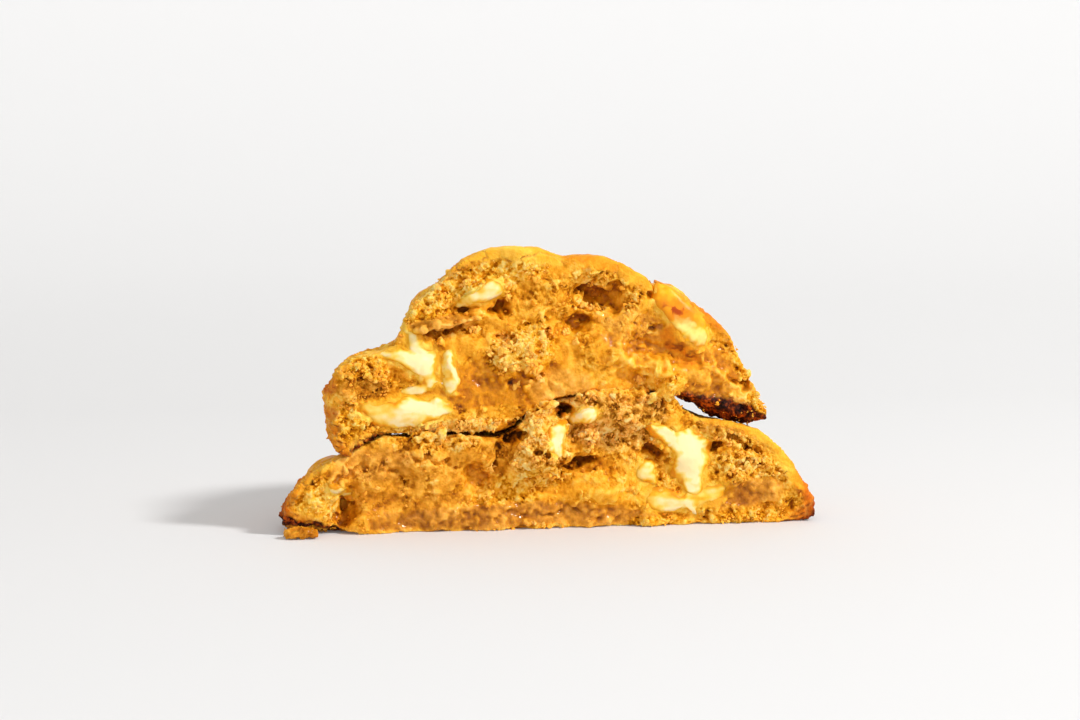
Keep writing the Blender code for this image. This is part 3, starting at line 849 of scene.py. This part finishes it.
def grain_finish():
    """Dry grains of crumb: the dough's own colours, each grain a little different."""
    finish = Finish("crumb_grains", Specular_IOR_Level=0.2)
    tone = finish.stored("pale") * 0.25 + 0.45 + finish.grain(0.5) * 0.1
    crumb = finish.ramp(
        tone, (0.1, 196, 106, 6), (0.42, 246, 162, 26), (0.62, 255, 186, 56), (0.9, 255, 208, 104),
    )
    tan = finish.ramp(
        tone, (0.1, 166, 98, 20), (0.42, 230, 150, 48), (0.62, 250, 180, 76), (0.9, 255, 210, 122),
    )
    finish.feed(finish.shader.inputs["Base Color"], finish.mix(finish.stored("tan"), crumb, tan))
    finish.feed(finish.shader.inputs["Roughness"], 0.5 + finish.grain(0.4) * 0.3)
    return finish


LOWER_NUGGETS = (
    (-12.6, 13.2, 0.9), (-13.4, 7.4, 0.8), (7.8, 20.6, 0.8), (10.2, 19.4, 0.6), (-36.5, 9.6, 0.5),
    (-20.4, 4.4, 0.5), (39, 17, 0.8), (41.2, 15.2, 0.7), (37.4, 14.2, 0.6), (45.6, 10.4, 0.6),
    (-3.2, 1.2, 0.5), (-1.6, 1, 0.6),
)
crumb_grains = grain_finish()
crumb_grains.wear(loose_grains("crumbs_lower", lower_dough, lower, LOWER_NUGGETS, 5))


# The upper half, lying across the lower one: the thicker piece, domed, with its torn face to the
# front too. It is made as the lower half is.
UPPER_NODES = ["upper_half"] + ["choc_upper_" + name for name in (
    "pool", "smear", "strip", "top", "toasted", "crust_back", "crust_left",
)]
UPPER_CHOCOLATE = {
    "choc_upper_pool": (
        (-28.6, 25.8, 6.6, 2.9, 0, 0.45), (-36, 25.6, 4.8, 2.2, -8, 0.15),
        (-24.2, 26.2, 3, 2.2, 0, 0.45), (-31.5, 24.2, 5, 1.8, 4, 0.3),
    ),
    "choc_upper_smear": (
        (-26.6, 35.8, 3, 3.6, -28, 0.55), (-30.6, 36.8, 4.6, 1.9, -18, 0.4),
        (-28.4, 39.6, 1.7, 2.6, 32, 0.25), (-30.6, 42.4, 0.9, 2.6, 36, 0.1),
        (-35, 37.8, 3.2, 0.9, -10, 0.2), (-29, 29.8, 2.6, 1.1, 10, 0.15),
        (-25.4, 31.8, 1.3, 2, -20, 0.25), (-23.6, 32.2, 1.8, 0.6, -20, 0.15),
        (-27.6, 32.8, 0.5, 2.2, 14, 0.15),
    ),
    "choc_upper_strip": (
        (-20.6, 34.4, 1, 3.8, 4, 0.5), (-22.2, 34, 1.2, 3.2, -5, 0.05), (-21.4, 37.2, 1.7, 1, -8, 0.35),
        (-21.3, 30.6, 1.1, 1.9, 8, 0.35),
    ),
    "choc_upper_top": (
        (-12.4, 50.6, 2.8, 2.3, 40, 0.3), (-15.2, 49.2, 3.6, 1.5, 22, 0.25),
        (-18, 48.2, 2, 1, 10, 0.15),
    ),
    "choc_upper_toasted": (
        (25.2, 48.4, 2.8, 3.8, -10, 0.25), (28.6, 44.6, 3.6, 4, -30, 0.35),
        (30.8, 41, 3.9, 2.7, -38, 0.35), (23.2, 51.4, 1.2, 2, 20, 0.15),
        (31.4, 44.6, 2.4, 2.8, -40, 0.2),
    ),
}
UPPER_STROKES = {
    "golden dough": (0, 40, 34, 16, 0, 0.35, 0.45, -0.05, 0.1),
    "crumb under the dome": (-12, 53.4, 14, 3.6, 14, 0.8, 0.05, 0.75, 0),
    "crumbly slope": (-26, 46.6, 7, 3.6, 40, 0.9, 0.1, 0.4, 0),
    "dough below the dome": (0, 49, 9, 5, 0, 0.6, 0.35, -0.1, 0.2),
    "crumbly middle": (12, 50, 9, 5, -10, 0.8, 0.15, 0.1, 0.2),
    "moist middle": (-10, 30, 17, 6.5, 0, 0.15, 0.65, -0.62, 0.05),
    "smooth right of it": (2, 30, 7, 4, 0, 0.1, 0.55, 0.1, 0.6),
    "glossy flank": (27, 35, 18, 7, -28, 0.1, 0.95, -0.5, 0.2),
    "amber ridge": (20, 33.6, 9, 3, -12, 0.05, 0.85, 0.15, 0),
    "amber oval": (40.6, 27.4, 4, 2.4, -20, 0, 0.8, 0.1, 0.3),
    "sparkling hollow": (17, 42.6, 6, 3.4, -20, 0.45, 0.9, -0.05, 0.3),
    "golden left lobe": (-40.5, 33.6, 7.5, 4.2, -10, 0.95, 0.05, 0.25, 0),
    "brown crumb": (-40, 30.4, 6, 2.6, 0, 0.6, 0.3, -0.4, 0.6),
    "left foot": (-42.5, 22.6, 5.5, 5.2, 20, 0.9, 0.1, 0.12, 0),
    "grey fold": (-24, 43.2, 9, 2, 10, 0.1, 0.5, -0.45, 0.9),
    "crumb heap": (-4, 39.4, 5.6, 4.6, 10, 0.8, 0.05, 0.85, 0),
    "pale crumb of the heap": (-9, 37, 4.6, 4.4, 0, 0.8, 0.05, 0.75, 0.2),
    "crumb over the pale foot": (-14, 24.6, 9, 1.8, 3, 0.4, 0.5, 0, 0.1),
    "pale foot": (-19, 22.2, 14, 1.6, 3, 1, 0, 0.75, 0.3),
    # Painted shade, with real colour: the hollows and the brown wall hold moister dough and are painted
    # darker still for the shade in them.
    "hollow under the top chunk": (-10.7, 47.1, 3, 2.4, 10, 0.1, 0.4, -0.6, 0.2),
    "hollow left of it": (-17.8, 46.8, 2.6, 1.6, 0, 0.1, 0.4, -0.6, 0.2),
    "branching hollow": (9.7, 49.3, 5, 1.8, -12, 0.4, 0.4, -0.45, 0.1),
    "brown wall": (14, 48.6, 2, 4.4, 0, 0.2, 0.5, -0.55, 0.2),
    "amber hollow": (6.3, 43.7, 3.6, 2.6, 5, 0.2, 0.6, -0.45, 0.1),
    "right edge": (42, 34, 2.4, 5, 25, 0.8, 0.1, 0.2, 0),
    "crumbly tip": (44.4, 25.2, 3, 3, 0, 0.95, 0, 0.4, 0),
    "flake at the contact": (24.8, 29.3, 5, 3, 33, 0.5, 0, 0.35, 0),
    # Painted shade: the roofs over the wedge and the star are painted near black-brown for the shadow
    # under them.
    "roof of the wedge": (-8, 21.8, 3, 1.2, 10, 0.1, 0.2, -1.5, 0.3),
    "roof of the star": (3.1, 27, 2.4, 1.1, 0, 0.1, 0.2, -1.5, 0.3),
}
UPPER_RELIEF = {
    "hollow under the top chunk": (-10.7, 46.8, 2.4, 1.9, 10, -3),
    "hollow left of it": (-17.8, 46.6, 2.4, 1.3, 10, -2.2),
    "branching hollow": (8.6, 49.6, 3.6, 1.1, -16, -1.9),
    "branch": (11.6, 48.4, 1.2, 2.2, 10, -1.7),
    "brown wall": (14, 48.8, 1.6, 3.4, 0, -1.6),
    "amber hollow": (6.3, 43.7, 3, 1.9, 5, -1.9),
    "small hollow": (-9.8, 40.8, 2.4, 0.9, 0, -1.8),
    "smaller hollow": (-0.5, 41.7, 1.2, 0.8, 0, -1.6),
    "slit under the crust": (-24.8, 48.1, 1.8, 0.6, 30, -1.4),
    "groove under the ledge": (-22.5, 42, 7, 0.8, 8, -2.2),
    "crumb ledge": (-22, 43.9, 8.5, 0.8, 8, 1.5),
    "split under the heap": (-4.7, 32.6, 3.2, 0.6, -16, -1.6),
    "hole in the left lobe": (-37.1, 35.4, 1.2, 0.6, 0, -1.4),
    "brow of the left lobe": (-40, 34.4, 5.5, 1.2, -10, 0.9),
    "hollow in the flank": (33.8, 39, 1.4, 0.7, -20, -1.6),
    "hollow under the split": (21.5, 48.8, 1.1, 1.5, 0, -2.6),
    "amber ridge": (21, 33.4, 7, 1.5, -12, 1.3),
    "groove over the ridge": (25, 35.8, 7, 0.7, -18, -1.2),
    "ridge to the tip": (36, 32, 6, 0.9, -38, 1),
    "amber oval": (40.6, 27.4, 3.4, 1.8, -20, 0.9),
    "fold over the oval": (40, 30.6, 4, 0.6, -25, -1.1),
    "flake at the contact": (24.8, 29.2, 3.8, 1.6, 33, 1.2),
    "roof of the wedge": (-8, 21.6, 2.6, 1.1, 10, -3),
    "roof of the star": (3.1, 26.8, 2.2, 1, 0, -3.5),
    "cleft in the foot": (-37.8, 23, 0.9, 2.6, -30, -1.4),
}
UPPER_BANDS = {
    "crust": (
        (-47, 1.6), (-42, -0.2), (-36, -1.2), (-30, -1.4), (-24, -0.6), (-18, 1.2), (-10, 2.6), (-2, 3),
        (4, 1), (10, 2.2), (18, 2.4), (22, 0.8), (26, 1.8), (34, 1.6), (40, 0.2), (47, -0.6),
    ),
    "base": ((-47, 1), (-42, 1.8), (-38, 1), (-34, -1.5), (24, -1.5), (28, 0.2), (47, 0.6)),
    "burnt": (
        (-47, -1), (-43, 0.2), (-40, 0.7), (-36, 0.5), (-31, -1), (24, -1), (28, 0.9), (34, 1.8),
        (39, 3.4), (44, 2.6), (47, 1.6),
    ),
    "grit": ((-47, 1), (-24, 1), (-16, 0.1), (22, 0.1), (30, 0.5), (47, 0.4)),
    "toast": (
        (-47, 1.5), (-42, 1.2), (-34, 0.7), (-20, 0.5), (-8, 0), (2, 0.2), (7, 1), (20, 1), (24, 1.2),
        (40, 1), (47, 1.6),
    ),
}
# The flake that bends out over the contact: crumbs fused in a row, each x, y, z and radius.
UPPER_FLAKE = (
    (21.2, -1, 26.8, 0.8), (22.2, -1.4, 27.5, 1.1), (23.5, -1.8, 28.4, 1.4), (24.8, -2.2, 29, 1.6),
    (26.2, -2.2, 29.8, 1.7), (27.4, -2, 30.8, 1.4), (25.4, -1.8, 31, 1.4), (24.8, -2, 27.8, 1.1),
    (26.6, -1.6, 31.8, 1),
)
UPPER_SLIT = (22, 52.4, 1.3, 5.4, 20)      # x, z, width, height and length of the split

upper = TornHalf(
    "upper_half", UPPER_STROKES, UPPER_CHOCOLATE, UPPER_BANDS, slit=UPPER_SLIT, pull=68, seed=7.3,
)
upper_dough = dough("dough_upper", UPPER_NODES, upper, UPPER_RELIEF, np.array(UPPER_FLAKE))
baked_dough.wear(upper_dough)
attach(upper_dough, "root")
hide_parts("upper_half")
UPPER_NUGGETS = (
    (-15.5, 42.3, 1.1), (-8.8, 49, 0.9), (-10.2, 38.7, 1.2), (-4.9, 35.4, 2), (-3.6, 34.2, 1.5),
    (-7.3, 30.8, 1.1), (-2.2, 32, 1), (19.4, 30.8, 1.1), (-6.6, 40.8, 1), (-4.8, 38.8, 1.2),
    (7.4, 47, 1), (9, 46.4, 0.9), (-12.6, 37.4, 0.9), (-8, 34.6, 0.9), (3.6, 41.2, 0.9),
    (5.4, 39.6, 0.8), (16.6, 45.6, 0.7),
)
crumb_grains.wear(loose_grains("crumbs_upper", upper_dough, upper, UPPER_NUGGETS, 6))


# The white chocolate in the torn faces: soft chunks that melted in the oven and were pulled out
# into smears. Each is one film that follows the torn dough, thick and cream in the middle, and
# thins out to clear yellow at its rim.
CHOCOLATE_STEP = 0.3     # mesh size of the films, mm
FILM_DEPTH = 2.4         # how deep the chocolate goes into the dough
# Marks on the toasted chunk: x, z, half width, half height and tilt.
TOASTED_MARKS = {
    "core": (30.2, 41, 4.2, 1.7, -38),
    "scorch": (26.3, 46, 2, 0.9, -18),
    "blush": (27.6, 45.6, 5.4, 2.2, -28),
}


def frayed(points, seed):
    """Make an outline laid on these points wander a little and fray a little."""
    return warped(warped(points, 3.4, 1.2, seed), 0.9, 0.5, seed + 5)


def chocolate(name, half, lobes, seed):
    """Lay a film over its lobes: a grid bent to the dough's front, thickened into one body."""
    lobe_array = np.array(lobes)
    margin = lobe_array[:, 2:4].max(axis=1)[:, None] + 0.5
    low = (lobe_array[:, :2] - margin).min(axis=0)
    high = (lobe_array[:, :2] + margin).max(axis=0)
    middle = (low + high) / 2
    steps = ((high - low) / CHOCOLATE_STEP).astype(int) + 1
    place = Matrix.Translation((middle[0], 0, middle[1])) @ Matrix.Rotation(math.pi / 2, 4, "X")
    size = Matrix.Diagonal((*(high - low) / 2, 1, 1))
    bm = bmesh.new()
    bmesh.ops.create_grid(bm, x_segments=steps[0], y_segments=steps[1], size=1, matrix=place @ size)
    corners = np.array([vert.co for vert in bm.verts])
    inside, height = joined_lobes(frayed(corners, seed), lobes)
    proud = (height + 0.6) * ease(-0.4, 0.5, inside) - 0.6
    streaks = ripple(corners * (0.5, 1, 1), 1.3, seed + 4)
    proud += 0.2 * ripple(corners, 2.6, seed + 3) + 0.1 * streaks
    gone = []
    for i, vert in enumerate(bm.verts):
        front = front_of(half.envelope, vert.co.x, vert.co.z)
        if front is None or inside[i] < -0.4:
            gone.append(vert)
        else:
            vert.co.y = front - proud[i]
    bmesh.ops.delete(bm, geom=gone, context="VERTS")
    back = bmesh.ops.extrude_face_region(bm, geom=bm.faces[:])
    moved = [part for part in back["geom"] if isinstance(part, bmesh.types.BMVert)]
    bmesh.ops.translate(bm, verts=moved, vec=(0, FILM_DEPTH, 0))
    bmesh.ops.recalc_face_normals(bm, faces=bm.faces)
    for vert in bm.verts:
        vert.co = (vert.co + Vector(BREAK)) * MM
    piece = new_piece(name.replace("choc", "chocolate"), bm)
    fuse(piece, CHOCOLATE_STEP, 3)
    points = points_of(piece)
    inside, height = joined_lobes(frayed(points, seed), lobes)
    film = np.clip(inside * 1.2, 0, 1) * (0.2 + 1.35 * np.minimum(height, 0.55))
    cloud = ripple(points * (0.5, 1, 1), 2.2, seed + 7)
    cloud += 0.7 * ripple(points * (0.4, 1, 1), 0.9, seed + 8)
    keep(piece, "film", film + 0.35 * cloud * ease(0, 0.3, inside))
    move_points(piece, points)
    bent = warped(warped(points, 1.8, 1.4, seed), 0.8, 0.6, seed + 5)
    for mark, place in TOASTED_MARKS.items():
        keep(piece, mark, np.clip(spot(bent, *place), -1, 1))
    piece.data.shade_smooth()
    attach(piece, "root")
    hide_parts(name)
    return piece


def chocolate_finish(name, *stops):
    """Melted white chocolate: cream where it is thick, buttery and clear where it is thin."""
    finish = Finish(name, Subsurface_Weight=0.4, Subsurface_Scale=0.0022, Specular_IOR_Level=0.2)
    finish.shader.inputs["Subsurface Radius"].default_value = (1, 0.7, 0.3)
    cloud = finish.grain(2, 3) - 0.5
    surface = finish.ramp(finish.stored("film") + cloud * 0.6 + 0.1, *stops)
    blush = (finish.stored("blush") + cloud).ease(-0.6, 1) * 0.9
    core = (finish.stored("core") + cloud * 1.6).ease(-0.8, 1.1) * finish.stored("film").ease(0, 0.4)
    scorch = (finish.stored("scorch") + cloud).ease(-0.5, 0.7)
    surface = finish.mix(blush, surface, colour(238, 132, 10))
    surface = finish.mix(core, surface, colour(255, 228, 134))
    surface = finish.mix(scorch, surface, colour(180, 70, 4))
    finish.feed(finish.shader.inputs["Base Color"], surface)
    finish.feed(finish.shader.inputs["Roughness"], 0.36 + cloud * 0.2)
    finish.bump(finish.grain(0.8, 2), 0.06)
    return finish


white_chocolate = chocolate_finish(
    "white_chocolate",
    (0.1, 230, 146, 20), (0.3, 244, 182, 44), (0.5, 253, 208, 100), (0.8, 255, 227, 170),
)
toasted_chocolate = chocolate_finish(
    "toasted_chocolate",
    (0, 232, 136, 6), (0.4, 246, 166, 14), (0.7, 252, 188, 34), (1, 255, 210, 70),
)
for half, order in ((lower, 0), (upper, 6)):
    for name, lobes in half.chocolate.items():
        piece = chocolate(name, half, lobes, 1.7 * order)
        order += 1
        if name == "choc_upper_toasted":
            toasted_chocolate.wear(piece)
        else:
            white_chocolate.wear(piece)


# The chunks baked into the crust, away from the break: white chocolate that the oven toasted golden
# to brown. They are sunk in the crust and stand out of it by less than a millimetre.
for node in (
    "choc_lower_crust_left", "choc_lower_crust_right", "choc_lower_crust_back",
    "choc_upper_crust_back", "choc_upper_crust_left",
):
    bm = bmesh.new()
    add_node(bm, node, grow=0.45)
    piece = new_piece(node.replace("choc", "chocolate"), bm)
    fuse(piece, 0.4, 4)
    points = points_of(piece)
    move_points(piece, points + normals_of(piece) * (0.4 * ripple(points, 2.4, 3))[:, None])
    keep(piece, "film", 0.1 + 0.5 * ripple(points, 3, 8))
    keep(piece, "scorch", ripple(points, 3.4, 9) * 2 - 0.5)
    for name in ("core", "blush"):
        keep(piece, name, np.full(len(points), -1))
    piece.data.shade_smooth()
    toasted_chocolate.wear(piece)
    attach(piece, "root")
    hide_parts(node)


# The flat crumb that fell beside the left end: a thin brown bit of the moist base, some millimetres
# long, lying on the table. Its rough skin is made of crumbs fused together.
FALLEN_GRAINS = 26       # crumbs fused onto it

bm = bmesh.new()
add_node(bm, "fallen_crumb")
corners = np.array([vert.co for vert in bm.verts]) / MM - BREAK
rng = np.random.default_rng(8)
centres = corners[rng.integers(len(corners), size=FALLEN_GRAINS)]
centres = centres + rng.normal(0, 0.2, (FALLEN_GRAINS, 3))
radii = rng.uniform(0.3, 0.7, FALLEN_GRAINS)
bm.from_mesh(grains("flakes", rng, centres, radii, *grain_shapes(3)))
crumb = new_piece("crumb_fallen", bm)
fuse(crumb, 0.25, 10)
points = points_of(crumb)
rise = 0.45 * ripple(points, 1.6, 3) + 0.3 * ripple(points, 0.7, 4) - 0.2
move_points(crumb, points + normals_of(crumb) * rise[:, None])
# Painted shade and highlight: the crumb's dips are painted darker and its bumps lighter.
keep(crumb, "near", np.clip(standing(crumb, 5) / NEAR_SPAN, -1, 1))
for name in ("wide", "depth", "chunk", "grain", "crack", "under", "burnt", "butter", "edge", "crust"):
    keep(crumb, name, np.zeros(len(points)))
for name, value in (("tan", 0.6), ("wet", 0.5), ("pale", -0.8)):
    keep(crumb, name, np.full(len(points), value))
crumb.data.shade_smooth()
baked_dough.wear(crumb)
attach(crumb, "root")
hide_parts("fallen_crumb")


# The table and the light: a seamless pale sweep, a key light from high at the front right, a weak
# wide one from the front left, and white light from all around.
TABLE_TONE = (0.69, 0.683, 0.676, 1)
SWEEP_START = 0.55       # how far behind the object the table starts to rise, metres
SWEEP_RADIUS = 0.9       # of the bend up into the background, metres
SWEEP_STEPS = 12

bm = bmesh.new()
profile = [Vector((-6, -4, 0)), Vector((-6, SWEEP_START, 0))]
for i in range(1, SWEEP_STEPS + 1):
    angle = math.pi / 2 * i / SWEEP_STEPS
    profile.append(Vector((
        -6, SWEEP_START + SWEEP_RADIUS * math.sin(angle), SWEEP_RADIUS * (1 - math.cos(angle)),
    )))
profile.append(Vector((-6, SWEEP_START + SWEEP_RADIUS, 6)))
verts = [bm.verts.new(point) for point in profile]
edges = [bm.edges.new(pair) for pair in zip(verts, verts[1:])]
swept = bmesh.ops.extrude_edge_only(bm, edges=edges)
moved = [part for part in swept["geom"] if isinstance(part, bmesh.types.BMVert)]
bmesh.ops.translate(bm, verts=moved, vec=(12, 0, 0))
bmesh.ops.recalc_face_normals(bm, faces=bm.faces)
sweep = new_piece("table", bm)
sweep.data.shade_smooth()
table_finish = Finish("table", Roughness=0.9, Emission_Strength=1)
table_finish.shader.inputs["Base Color"].default_value = TABLE_TONE
far = table_finish.node("ShaderNodeSeparateXYZ", {}, {"Vector": table_finish.place}, "Y")
stops = ((0.1, (0.05, 0.05, 0.05, 1)), (0.5, (0.27, 0.27, 0.27, 1)))
glow = table_finish.node("ShaderNodeValToRGB", {"stops": stops}, {"Fac": far * 0.5}, "Color")
table_finish.feed(table_finish.shader.inputs["Emission Color"], glow)
table_finish.wear(sweep)


def area_light(name, place, size, power):
    light = bpy.data.lights.new(name, "AREA")
    light.shape = "DISK"
    light.size = size
    light.energy = power
    aim(add_object(name, light), place, (0, 0, 0.03))


area_light("key", (0.95, -0.72, 1), 0.24, 19.3)
area_light("fill", (-0.4, -1.6, 0.6), 1.4, 4.5)
world = bpy.data.worlds.new("studio")
world.use_nodes = True
world.node_tree.nodes["Background"].inputs["Color"].default_value = (1, 1, 1, 1)
world.node_tree.nodes["Background"].inputs["Strength"].default_value = 0.58
bpy.context.scene.world = world
bpy.context.scene.view_settings.view_transform = "Standard"
